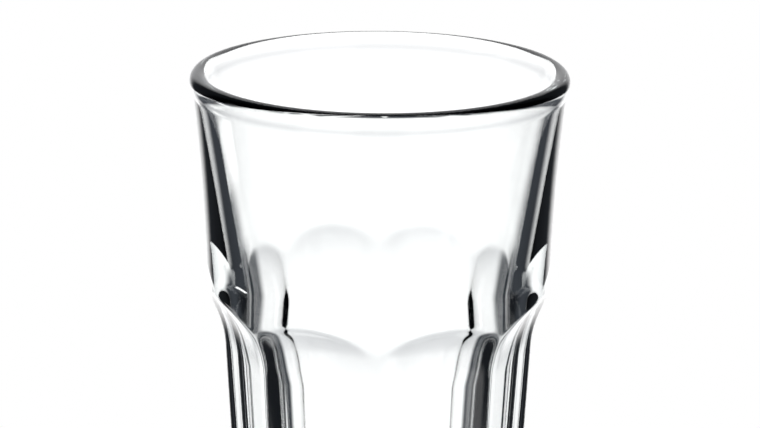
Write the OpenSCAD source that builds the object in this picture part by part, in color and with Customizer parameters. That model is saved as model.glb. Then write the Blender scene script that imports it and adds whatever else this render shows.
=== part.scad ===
// Panelled cooler glass: one pressed soda-lime tumbler.
// A turned wall, with a rolled rim and a thick base, is cut all round by flat panels.
// Each panel's top runs out in a cove, which leaves arched edges on the round band
// and a pointed drop of the band between neighbours, above a rib.
// Millimetres, +Z up, origin in the middle of the ring that the glass stands on.

/* [Overall] */
// Height from the table to the top of the lip
glass_h = 159; // [145:1:175]
// Diameter over the rolled rim, the widest place
rim_d = 86; // [84:0.5:92]

/* [Rim] */
// Radius of the rounded lip
lip_r = 2; // [1.5:0.1:2.4]
// Radius of the roll that bulges under the lip
roll_r = 4.8; // [4:0.2:7]
// Height of the roll under the widest place
roll_h = 2.6; // [1.5:0.1:3]

/* [Round band] */
// Height at which the flare ends and the band turns in to the shoulder
band_z = 115; // [113:0.5:120]
// Diameter of the band at that height
band_d = 79.2; // [78:0.2:81]
// Lean of the band at that height, in degrees
band_lean = 1.5; // [0.5:0.1:2]
// Radius of the turn in to the shoulder
shoulder_r = 75; // [60:1:120]
// Lean of the band where the turn ends, in degrees
shoulder_lean = 10.5; // [6:0.5:14]

/* [Panels] */
// Number of flat panels round the body
panel_count = 8; // [7:1:10]
// Height at which the flat of a panel ends and its cove begins
panel_z = 93.2; // [90:0.2:96]
// Width across the flats at that height
panel_d = 66.5; // [65:0.1:68]
// Draft of the panels, in degrees
panel_draft = 2.7; // [1:0.1:3.5]
// Radius of the cove at the top of a panel
cove_r = 27; // [22:0.5:32]
// How far the pressing rounds off the ribs
rib_ease = 0.35; // [0.1:0.05:0.6]

/* [Foot] */
// Radius of the round heel
heel_r = 5; // [2:0.5:6]
// Diameter of the hollow under the foot
punt_d = 46; // [30:1:48]
// Depth of the hollow under the foot
punt_h = 2.4; // [1:0.1:4]

/* [Inside] */
// Height of the inside floor over the table
floor_z = 13; // [8:0.5:20]
// Radius of the inside at the floor, before its corner is rounded
floor_r = 24.6; // [20:0.1:25.5]
// Radius of the round between floor and wall
corner_r = 7; // [3:0.5:10]
// Taper of the inside from the floor to the throat, in degrees
inside_draft = 4; // [3:0.1:5]
// Radius of the curve at the throat, where the inside opens out
throat_r = 70; // [40:5:160]
// Taper of the inside from the throat to the lip, in degrees
mouth_draft = 8.2; // [7:0.1:9.5]

/* [Hidden] */
$fn = 240;

// Room that a cutter keeps past what it cuts
margin = 5;
// Number of short cones that make up the round of the heel
heel_steps = 8;
// Direction square to a wall that leans out by an angle, pointing away from the glass's axis
function outward(lean) = [cos(lean), -sin(lean)];

// The lip is round, and its middle lies at the height of the widest place
rim_r = rim_d / 2;
lip_centre = [rim_r - lip_r, glass_h - lip_r];
roll_centre = [rim_r - roll_r, lip_centre.y];
neck_point = [roll_centre.x + sqrt(roll_r ^ 2 - roll_h ^ 2), lip_centre.y - roll_h];

// The flare leaves the band at the band's lean and runs through the neck under the roll
band_point = [band_d / 2, band_z];
flare_rise = neck_point - band_point;
flare_r = (flare_rise * flare_rise) / (2 * flare_rise * outward(band_lean));
flare_centre = band_point + flare_r * outward(band_lean);

// The shoulder turns in from the same place and ends as a straight lean
shoulder_centre = band_point - shoulder_r * outward(band_lean);
drop_point = shoulder_centre + shoulder_r * outward(shoulder_lean);
drop_foot = drop_point.x - (drop_point.y - panel_z) * tan(shoulder_lean);

// A panel's face and the rib between two faces, each with a cove that touches it at the top
half_panel = 180 / panel_count;
panel_top = [panel_d / 2, panel_z];
panel_foot = panel_top.x - (panel_z + margin) * tan(panel_draft);
panel_cove = panel_top + cove_r * outward(panel_draft);
rib_draft = atan(tan(panel_draft) / cos(half_panel));
rib_top = [panel_top.x / cos(half_panel) - rib_ease, panel_z];
rib_cove = rib_top + cove_r * outward(rib_draft);

// The heel touches both the table and the rib's line
heel_reach = rib_top.x - (panel_z - heel_r) * tan(rib_draft);
heel_centre = [heel_reach - heel_r / cos(rib_draft), heel_r];
heel_turn = (90 - rib_draft) / heel_steps;
heel_arc = [for (i = [0:heel_steps]) heel_centre + heel_r * outward(90 - i * heel_turn)];
// The hollow under the foot is part of a ball
punt_r = (punt_d ^ 2 / 4 + punt_h ^ 2) / (2 * punt_h);

// Inside, a taper rises from a rounded corner
corner_reach = floor_r + corner_r * tan(inside_draft);
corner_centre = [corner_reach - corner_r / cos(inside_draft), floor_z + corner_r];
corner_touch = corner_centre + corner_r * outward(inside_draft);
// A wider taper runs down from the lip, and would cross the lower one at the bend
mouth_point = lip_centre - lip_r * outward(mouth_draft);
mouth_gap = mouth_point.x - floor_r - (mouth_point.y - floor_z) * tan(inside_draft);
bend_drop = mouth_gap / (tan(mouth_draft) - tan(inside_draft));
bend_point = mouth_point - bend_drop * [tan(mouth_draft), 1];
// The curve of the throat touches both tapers
throat_reach = throat_r * tan((mouth_draft - inside_draft) / 2);
throat_low = bend_point - throat_reach * [sin(inside_draft), cos(inside_draft)];
throat_high = bend_point + throat_reach * [sin(mouth_draft), cos(mouth_draft)];
throat_centre = throat_low + throat_r * outward(inside_draft);

// The part of a section between two heights, out to a radius
module slab(low, high, reach) {
  translate([0, low]) square([reach, high - low]);
}

// A round of a section
module disc(centre, radius) {
  translate(centre) circle(r = radius);
}

// Heel and ribs up to the top of the panels
module foot_section() {
  polygon(concat([[0, 0]], heel_arc, [rib_top, [0, panel_z]]));
}

// Shoulder between the ribs and the round band
module shoulder_section() {
  difference() {
    union() {
      polygon([[0, panel_z], [drop_foot, panel_z], drop_point, [0, drop_point.y]]);
      intersection() {
        slab(drop_point.y, band_z, rim_r);
        disc(shoulder_centre, shoulder_r);
      }
    }
    disc(rib_cove, cove_r);
  }
}

// Band that flares up to the neck under the rim
module flare_section() {
  difference() {
    slab(band_z, neck_point.y, rim_r);
    disc(flare_centre, flare_r);
  }
}

// Roll and lip
module rim_section() {
  slab(neck_point.y, mouth_point.y, lip_centre.x);
  intersection() {
    slab(neck_point.y, lip_centre.y, rim_r);
    disc(roll_centre, roll_r);
  }
  disc(lip_centre, lip_r);
}

// Space inside the glass, open past the lip
module inside_section() {
  disc(corner_centre, corner_r);
  polygon([
    [0, floor_z], [corner_centre.x, floor_z], corner_centre, corner_touch,
    throat_low, [throat_low.x, throat_high.y], throat_high,
    mouth_point, [mouth_point.x, glass_h + margin], [0, glass_h + margin]
  ]);
  difference() {
    slab(throat_low.y, throat_high.y + margin, throat_high.x);
    disc(throat_centre, throat_r);
  }
}

// Half-section of the turned glass, before the panels are cut
module wall_section() {
  difference() {
    union() {
      foot_section();
      shoulder_section();
      flare_section();
      rim_section();
    }
    inside_section();
    disc([0, punt_h - punt_r], punt_r);
  }
}

// What one panel takes off: all that lies outside its face and its cove
module panel_cutter() {
  rotate([90, 0, 0])
    linear_extrude(height = 2 * panel_cove.x, center = true) {
      disc(panel_cove, cove_r);
      polygon([[panel_foot, -margin], [panel_cove.x, -margin], panel_cove, panel_top]);
    }
}

// The glass, turned so that a rib faces the front
module tumbler() {
  color("aliceblue", 0.4)
    difference() {
      rotate_extrude() wall_section();
      for (i = [0:panel_count - 1])
        rotate([0, 0, (i + 0.5) * 2 * half_panel - 90]) panel_cutter();
    }
}

tumbler();
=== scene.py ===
"""Panelled cooler glass of clear pressed glass, lit from behind on a white table top.

The section of the glass is drawn as a line and spun, and the flat panels are then pressed into it.
Metres, +Z up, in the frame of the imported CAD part. A rib faces the camera.
"""
import math

import bpy
import numpy as np
from mathutils import Matrix, Vector


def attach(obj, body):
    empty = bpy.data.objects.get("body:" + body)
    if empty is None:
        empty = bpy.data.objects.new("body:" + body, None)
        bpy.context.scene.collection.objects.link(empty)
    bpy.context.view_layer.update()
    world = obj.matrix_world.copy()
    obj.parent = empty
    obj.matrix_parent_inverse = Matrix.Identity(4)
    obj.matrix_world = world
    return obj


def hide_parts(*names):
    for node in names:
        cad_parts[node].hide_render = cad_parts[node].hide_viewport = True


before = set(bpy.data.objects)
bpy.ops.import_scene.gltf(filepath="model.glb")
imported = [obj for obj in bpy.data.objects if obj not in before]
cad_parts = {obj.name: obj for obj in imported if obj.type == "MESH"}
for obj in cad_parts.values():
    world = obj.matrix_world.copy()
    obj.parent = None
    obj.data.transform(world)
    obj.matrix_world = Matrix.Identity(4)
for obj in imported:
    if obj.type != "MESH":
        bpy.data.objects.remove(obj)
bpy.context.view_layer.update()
MM = 0.001

# Sizes of the glass, as in the CAD source
GLASS_H = 159 * MM
RIM_R = 43 * MM
LIP_R = 2 * MM
ROLL_R = 4.8 * MM
ROLL_H = 2.6 * MM
BAND_Z = 115 * MM
BAND_R = 39.6 * MM
BAND_LEAN = 1.5
SHOULDER_R = 75 * MM
SHOULDER_LEAN = 10.5
PANELS = 8
HALF_PANEL = math.pi / PANELS
PANEL_Z = 93.2 * MM
PANEL_REACH = 33.25 * MM
PANEL_DRAFT = 2.7
COVE_R = 27 * MM
RIB_EASE = 0.35 * MM
HEEL_R = 5 * MM
PUNT_R = 23 * MM
PUNT_H = 2.4 * MM
FLOOR_Z = 13 * MM
FLOOR_R = 24.6 * MM
CORNER_R = 7 * MM
INSIDE_DRAFT = 4
THROAT_R = 70 * MM
MOUTH_DRAFT = 8.2

# Edges that the fire polish leaves round
EDGE_ROUND = 0.6 * MM
NECK_ROUND = 4.5 * MM

# Fineness of the mesh
COLUMNS = 52 * PANELS
SHOULDER_ROWS = 44
MERGE = 0.001 * MM

# Finish of the glass: waves that the mould leaves, scuffs on the standing ring, faint green of thick glass
GLASS_COLOUR = (0.985, 0.99, 0.99, 1)
GLASS_IOR = 1.52
WAVE_SCALE = 55
WAVE_DETAIL = 1
WAVE_STRENGTH = 0.05
WAVE_DEPTH = 0.2 * MM
SCUFF_SCALE = 900
SCUFF_Z = 0.3 * MM
SCUFF_SOFT = 0.2 * MM
SCUFF_ROUGHNESS = 0.4
TINT = (0.78, 0.9, 0.88, 1)
TINT_DENSITY = 6

# Light cards round the glass, in degrees: azimuth from +Y, half width, low and high elevation, softness
CARDS = [
    (0, 27, -48, 60, 7),
    (-98, 18, -9, 14, 6),
    (143, 20, -40, 10, 7),
    (-54.5, 8.5, -29.5, -24.5, 1),
    (-45, 25, -80, -42, 4),
]

# Light of the cards, which turns greyer above an elevation
CARD_LIGHT = (1.4, 1.4, 1.4, 1)
SKY_LIGHT = (0.9, 0.905, 0.92, 1)
SKY_RISE = -10
SKY_SOFT = 16

# The room between the cards, which is darker past an angle to either side
ROOM_NEAR = (0.054, 0.06, 0.07, 1)
ROOM_FAR = (0.008, 0.009, 0.011, 1)
ROOM_TURN = 57
ROOM_SOFT = 8

# A ray that was refracted fewer times than this has passed one wall of the glass at most
ONE_WALL = 3

# White studio and the table top, which fades out from a radius to its edge
WHITE = (1, 1, 1, 1)
TABLE_COLOUR = (0.97, 0.97, 0.97, 1)
TABLE_R = 160 * MM
TABLE_FADE_R = 32 * MM
TABLE_SIDES = 96

# Camera of the photograph
CAMERA_AWAY = 560 * MM
CAMERA_UP = 129.5 * MM
CAMERA_PITCH = 16.28
CAMERA_ROLL = 0.4
CAMERA_NEAR = 10 * MM
FOCAL_PIXELS = 2540
GLASS_PIXEL_X = 379
FRAME_W = 760
SENSOR_W = 36


def outward(lean):
    """Direction square to a wall that leans out by an angle in degrees, pointing away from the axis."""
    return Vector((math.cos(math.radians(lean)), -math.sin(math.radians(lean))))


def lean_of(spoke):
    """Lean of the wall at the end of a spoke from the middle of its round, in degrees."""
    return -math.degrees(math.atan2(spoke.y, spoke.x))


def slope(lean):
    """How far a wall moves out for each metre that it rises."""
    return math.tan(math.radians(lean))


class Section:
    """Half of the glass's outline in the XZ plane, pulled out of one point and added to at its end."""

    def __init__(self, start):
        bpy.ops.object.select_all(action="DESELECT")
        bpy.ops.mesh.primitive_plane_add(size=LIP_R, location=(start.x, 0, start.y))
        bpy.ops.object.transform_apply(location=True, rotation=False, scale=False)
        bpy.ops.object.mode_set(mode="EDIT")
        bpy.ops.mesh.select_mode(type="VERT")
        bpy.ops.mesh.merge(type="CENTER")
        self.end = start

    def pull(self, there, steps=1):
        """Extrudes the end straight to a point, in even steps."""
        step = (there - self.end) / steps
        for _ in range(steps):
            bpy.ops.mesh.extrude_vertices_move(TRANSFORM_OT_translate={"value": (step.x, 0, step.y)})
        self.end = there

    def swing(self, centre, turn, steps):
        """Spins the end round a middle, by degrees of lean."""
        middle = (centre.x, 0, centre.y)
        bpy.ops.mesh.spin(steps=steps, angle=-math.radians(turn), center=middle, axis=(0, 1, 0))
        self.end = centre + Matrix.Rotation(-math.radians(turn), 2) @ (self.end - centre)


def draw_foot():
    """From the middle of the hollow under the foot, out to the ring and up the heel to the top of a rib."""
    ball_r = (PUNT_R ** 2 + PUNT_H ** 2) / (2 * PUNT_H)
    ball = Vector((0, PUNT_H - ball_r))
    draft = math.degrees(math.atan(slope(PANEL_DRAFT) / math.cos(HALF_PANEL)))
    rib_top = Vector((PANEL_REACH / math.cos(HALF_PANEL) - RIB_EASE, PANEL_Z))
    reach = rib_top.x - (PANEL_Z - HEEL_R) * slope(draft)
    heel = Vector((reach - HEEL_R / math.cos(math.radians(draft)), HEEL_R))
    section = Section(Vector((0, PUNT_H)))
    section.swing(ball, 90 + lean_of(Vector((PUNT_R, 0)) - ball), steps=8)
    section.pull(Vector((heel.x, 0)), steps=3)
    section.swing(heel, draft - 90, steps=14)
    section.pull(rib_top, steps=20)
    return section, rib_top + COVE_R * outward(draft)


def draw_shoulder(section, cove):
    """Up the cove of a rib, past the drop of the band, and round the shoulder to the band."""
    foot_z = section.end.y
    shoulder = Vector((BAND_R, BAND_Z)) - SHOULDER_R * outward(BAND_LEAN)
    drop_z = (shoulder + SHOULDER_R * outward(SHOULDER_LEAN)).y
    for row in range(1, SHOULDER_ROWS + 1):
        z = foot_z + (BAND_Z - foot_z) * row / SHOULDER_ROWS
        round_r = shoulder.x + math.sqrt(SHOULDER_R ** 2 - (max(z, drop_z) - shoulder.y) ** 2)
        wall_r = round_r - max(drop_z - z, 0) * slope(SHOULDER_LEAN)
        cove_r = cove.x - math.sqrt(COVE_R ** 2 - (z - cove.y) ** 2)
        section.pull(Vector((rounded_min(wall_r, cove_r), z)))


def draw_rim(section):
    """Up the flare, through the hollow of the neck, round the roll and over the lip to the inside."""
    lip = Vector((RIM_R - LIP_R, GLASS_H - LIP_R))
    roll = Vector((RIM_R - ROLL_R, lip.y))
    corner = Vector((roll.x + math.sqrt(ROLL_R ** 2 - ROLL_H ** 2), lip.y - ROLL_H))
    rise = corner - section.end
    flare_r = rise.length_squared / (2 * rise.dot(outward(BAND_LEAN)))
    flare = section.end + flare_r * outward(BAND_LEAN)
    # The neck touches both the flare and the roll
    across = roll - flare
    near, far = ROLL_R + NECK_ROUND, flare_r - NECK_ROUND
    along = (far ** 2 - near ** 2 + across.length_squared) / (2 * across.length)
    aside = Vector((across.y, -across.x)).normalized() * math.sqrt(far ** 2 - along ** 2)
    foot = flare + along * across.normalized()
    neck = min(foot + aside, foot - aside, key=lambda centre: centre.y)
    flare_end = lean_of(flare - neck)
    roll_start = lean_of(neck - roll)
    section.swing(flare, flare_end - BAND_LEAN, steps=24)
    section.swing(neck, roll_start - flare_end, steps=8)
    section.swing(roll, -roll_start, steps=8)
    section.swing(lip, MOUTH_DRAFT - 180, steps=22)


def draw_inside(section):
    """Down the inside: taper, throat, narrower taper and rounded corner, to the middle of the floor."""
    mouth = section.end
    gap = mouth.x - FLOOR_R - (mouth.y - FLOOR_Z) * slope(INSIDE_DRAFT)
    drop = gap / (slope(MOUTH_DRAFT) - slope(INSIDE_DRAFT))
    bend = mouth - drop * Vector((slope(MOUTH_DRAFT), 1))
    reach = THROAT_R * slope((MOUTH_DRAFT - INSIDE_DRAFT) / 2)
    throat_high = bend + reach * outward(MOUTH_DRAFT - 90)
    corner_reach = FLOOR_R + CORNER_R * slope(INSIDE_DRAFT)
    corner = Vector((corner_reach - CORNER_R / math.cos(math.radians(INSIDE_DRAFT)), FLOOR_Z + CORNER_R))
    section.pull(throat_high, steps=20)
    section.swing(throat_high + THROAT_R * outward(MOUTH_DRAFT), INSIDE_DRAFT - MOUTH_DRAFT, steps=6)
    section.pull(corner + CORNER_R * outward(INSIDE_DRAFT), steps=14)
    section.swing(corner, 90 - INSIDE_DRAFT, steps=12)
    section.pull(Vector((0, FLOOR_Z)), steps=5)


def turn_section():
    """The section is spun into a closed glass, whose seam and poles are merged."""
    bpy.ops.mesh.select_all(action="SELECT")
    bpy.ops.mesh.spin(steps=COLUMNS, angle=2 * math.pi, center=(0, 0, 0), axis=(0, 0, 1))
    bpy.ops.mesh.select_all(action="SELECT")
    bpy.ops.mesh.remove_doubles(threshold=MERGE)
    bpy.ops.mesh.normals_make_consistent(inside=False)
    bpy.ops.object.mode_set(mode="OBJECT")
    bpy.ops.object.shade_smooth()


def rounded_min(a, b):
    """The smaller of two reaches, with the edge where they cross rounded off."""
    overlap = np.clip(1 - np.abs(a - b) / EDGE_ROUND, 0, None)
    return np.minimum(a, b) - overlap ** 2 * EDGE_ROUND / 4


def press_panels(glass):
    """Every point outside a panel's face or its cove is pressed in to it, with rounded edges."""
    mesh = glass.data
    points = np.empty(len(mesh.vertices) * 3)
    mesh.vertices.foreach_get("co", points)
    x, y, z = points.reshape(-1, 3).T
    reach = np.hypot(x, y)
    turn = np.mod(np.arctan2(y, x), 2 * HALF_PANEL) - HALF_PANEL
    cove = Vector((PANEL_REACH, PANEL_Z)) + COVE_R * outward(PANEL_DRAFT)
    flat = PANEL_REACH - (PANEL_Z - z) * slope(PANEL_DRAFT)
    hollow = cove.x - np.sqrt(np.clip(COVE_R ** 2 - (z - cove.y) ** 2, 0, None))
    face = np.where(z < PANEL_Z, flat, hollow) / np.cos(turn)
    pressed = rounded_min(reach, face) / np.maximum(reach, MM)
    mesh.vertices.foreach_set("co", np.column_stack((x * pressed, y * pressed, z)).ravel())
    mesh.update()


def pressed_glass():
    """The whole tumbler as one piece."""
    section, rib_cove = draw_foot()
    draw_shoulder(section, rib_cove)
    draw_rim(section)
    draw_inside(section)
    turn_section()
    glass = bpy.context.object
    glass.name = glass.data.name = "pressed_glass"
    press_panels(glass)
    return glass


def node(tree, kind, **settings):
    """A new shader node with its settings."""
    new = tree.nodes.new(kind)
    for name, value in settings.items():
        setattr(new, name, value)
    return new


def feed(tree, socket, value):
    """Links a socket to an input, or sets a plain value on it."""
    if isinstance(value, bpy.types.NodeSocket):
        tree.links.new(value, socket)
    else:
        socket.default_value = value


def calculate(tree, operation, first, second=0):
    """A Math node on two sockets or numbers."""
    new = node(tree, "ShaderNodeMath", operation=operation)
    feed(tree, new.inputs[0], first)
    feed(tree, new.inputs[1], second)
    return new.outputs["Value"]


def fade_in(tree, value, middle, soft):
    """A soft step from 0 to 1 round a middle."""
    new = node(tree, "ShaderNodeMapRange", interpolation_type="SMOOTHSTEP")
    feed(tree, new.inputs["Value"], value)
    feed(tree, new.inputs["From Min"], middle - soft)
    feed(tree, new.inputs["From Max"], middle + soft)
    return new.outputs["Result"]


def fade_out(tree, value, middle, soft):
    """A soft step from 1 to 0 round a middle."""
    return calculate(tree, "SUBTRACT", 1, fade_in(tree, value, middle, soft))


def mix_colours(tree, share, first, second):
    """A Mix node on two colours."""
    new = node(tree, "ShaderNodeMix", data_type="RGBA")
    colours = [socket for socket in new.inputs if socket.type == "RGBA"]
    feed(tree, new.inputs["Factor"], share)
    feed(tree, colours[0], first)
    feed(tree, colours[1], second)
    return next(socket for socket in new.outputs if socket.type == "RGBA")


def new_material(name):
    """A material with its node tree and its Principled shader."""
    material = bpy.data.materials.new(name)
    material.use_nodes = True
    return material, material.node_tree, material.node_tree.nodes["Principled BSDF"]


def clear_glass():
    """Clear soda-lime glass, faintly wavy from the mould and scuffed on the ring it stands on."""
    material, tree, shader = new_material("clear_glass")
    shader.inputs["Base Color"].default_value = GLASS_COLOUR
    shader.inputs["IOR"].default_value = GLASS_IOR
    shader.inputs["Transmission Weight"].default_value = 1
    place = node(tree, "ShaderNodeTexCoord").outputs["Object"]
    # Waves that the mould leaves
    waves = node(tree, "ShaderNodeTexNoise")
    waves.inputs["Scale"].default_value = WAVE_SCALE
    waves.inputs["Detail"].default_value = WAVE_DETAIL
    feed(tree, waves.inputs["Vector"], place)
    bump = node(tree, "ShaderNodeBump")
    bump.inputs["Strength"].default_value = WAVE_STRENGTH
    bump.inputs["Distance"].default_value = WAVE_DEPTH
    feed(tree, bump.inputs["Height"], waves.outputs["Fac"])
    feed(tree, shader.inputs["Normal"], bump.outputs["Normal"])
    # Scuffs on the standing ring
    parts = node(tree, "ShaderNodeSeparateXYZ")
    feed(tree, parts.inputs["Vector"], place)
    scuffs = node(tree, "ShaderNodeTexNoise")
    scuffs.inputs["Scale"].default_value = SCUFF_SCALE
    feed(tree, scuffs.inputs["Vector"], place)
    ring = fade_out(tree, parts.outputs["Z"], SCUFF_Z, SCUFF_SOFT)
    worn = calculate(tree, "MULTIPLY", ring, scuffs.outputs["Fac"])
    feed(tree, shader.inputs["Roughness"], calculate(tree, "MULTIPLY", worn, SCUFF_ROUGHNESS))
    # Faint green of thick glass
    tint = node(tree, "ShaderNodeVolumeAbsorption")
    tint.inputs["Color"].default_value = TINT
    tint.inputs["Density"].default_value = TINT_DENSITY
    feed(tree, tree.nodes["Material Output"].inputs["Volume"], tint.outputs["Volume"])
    return material


def degrees_round(tree, direction, azimuth):
    """How far a direction lies to the side of an azimuth, and how high it rises, in degrees."""
    turned = node(tree, "ShaderNodeVectorRotate", rotation_type="Z_AXIS")
    feed(tree, turned.inputs["Vector"], direction)
    feed(tree, turned.inputs["Angle"], math.radians(azimuth))
    parts = node(tree, "ShaderNodeSeparateXYZ")
    feed(tree, parts.inputs["Vector"], turned.outputs["Vector"])
    side = calculate(tree, "ABSOLUTE", calculate(tree, "ARCTAN2", parts.outputs["X"], parts.outputs["Y"]))
    rise = calculate(tree, "ARCSINE", parts.outputs["Z"])
    return [calculate(tree, "DEGREES", angle) for angle in (side, rise)]


def light_card(tree, direction, azimuth, half_width, low, high, soft):
    """Mask of a soft white card that stands in a direction, between two elevations."""
    side, rise = degrees_round(tree, direction, azimuth)
    across = fade_out(tree, side, half_width, soft)
    above = fade_in(tree, rise, low, soft)
    below = fade_out(tree, rise, high, soft)
    return calculate(tree, "MULTIPLY", calculate(tree, "MULTIPLY", across, above), below)


def studio():
    """White all round, but glass sees it as light cards in a dark room, which draws its edges."""
    world = bpy.data.worlds.new("studio")
    bpy.context.scene.world = world
    world.use_nodes = True
    world.cycles.sampling_method = "NONE"
    tree = world.node_tree
    direction = node(tree, "ShaderNodeTexCoord").outputs["Generated"]
    path = node(tree, "ShaderNodeLightPath").outputs
    # What is seen through a single wall is bright, as across the open mouth
    one_wall = calculate(tree, "LESS_THAN", path["Transmission Depth"], ONE_WALL)
    bright = calculate(tree, "MULTIPLY", one_wall, calculate(tree, "LESS_THAN", path["Glossy Depth"], 1))
    for card in CARDS:
        bright = calculate(tree, "MAXIMUM", bright, light_card(tree, direction, *card))
    side, rise = degrees_round(tree, direction, 0)
    room = mix_colours(tree, fade_in(tree, side, ROOM_TURN, ROOM_SOFT), ROOM_NEAR, ROOM_FAR)
    cards = mix_colours(tree, fade_in(tree, rise, SKY_RISE, SKY_SOFT), CARD_LIGHT, SKY_LIGHT)
    seen = mix_colours(tree, bright, room, cards)
    plain = calculate(tree, "MAXIMUM", path["Is Camera Ray"], path["Is Diffuse Ray"])
    feed(tree, tree.nodes["Background"].inputs["Color"], mix_colours(tree, plain, seen, WHITE))


def white_table():
    """Matt white, whose edge fades into the white of the studio."""
    material, tree, shader = new_material("white_table")
    shader.inputs["Base Color"].default_value = TABLE_COLOUR
    shader.inputs["Roughness"].default_value = 1
    shader.inputs["Specular IOR Level"].default_value = 0
    place = node(tree, "ShaderNodeTexCoord").outputs["Object"]
    distance = node(tree, "ShaderNodeVectorMath", operation="LENGTH")
    feed(tree, distance.inputs["Vector"], place)
    middle = (TABLE_FADE_R + TABLE_R) / 2
    shown = fade_out(tree, distance.outputs["Value"], middle, TABLE_R - middle)
    feed(tree, shader.inputs["Alpha"], shown)
    return material


def table_top():
    """A round white table top under the glass, which takes its shadow."""
    bpy.ops.object.select_all(action="DESELECT")
    bpy.ops.mesh.primitive_circle_add(vertices=TABLE_SIDES, radius=TABLE_R, fill_type="NGON")
    table = bpy.context.object
    table.name = "table_top"
    table.visible_transmission = False
    table.visible_glossy = False
    table.data.materials.append(white_table())


def photo_camera():
    """A long lens from above the rim, as in the photograph, whose frame cuts off the foot."""
    camera = bpy.data.objects.new("camera", bpy.data.cameras.new("camera"))
    bpy.context.collection.objects.link(camera)
    camera.data.sensor_width = SENSOR_W
    camera.data.lens = FOCAL_PIXELS * SENSOR_W / FRAME_W
    camera.data.clip_start = CAMERA_NEAR
    camera.data.shift_x = (FRAME_W / 2 - GLASS_PIXEL_X) / FRAME_W
    camera.location = (0, -CAMERA_AWAY, GLASS_H + CAMERA_UP)
    tilt = Matrix.Rotation(math.radians(90 - CAMERA_PITCH), 3, "X")
    camera.rotation_euler = (tilt @ Matrix.Rotation(math.radians(CAMERA_ROLL), 3, "Z")).to_euler()
    bpy.context.scene.camera = camera


glass = pressed_glass()
glass.data.materials.append(clear_glass())
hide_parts("tumbler")
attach(glass, "root")
table_top()
studio()
photo_camera()
bpy.context.scene.view_settings.view_transform = "Standard"
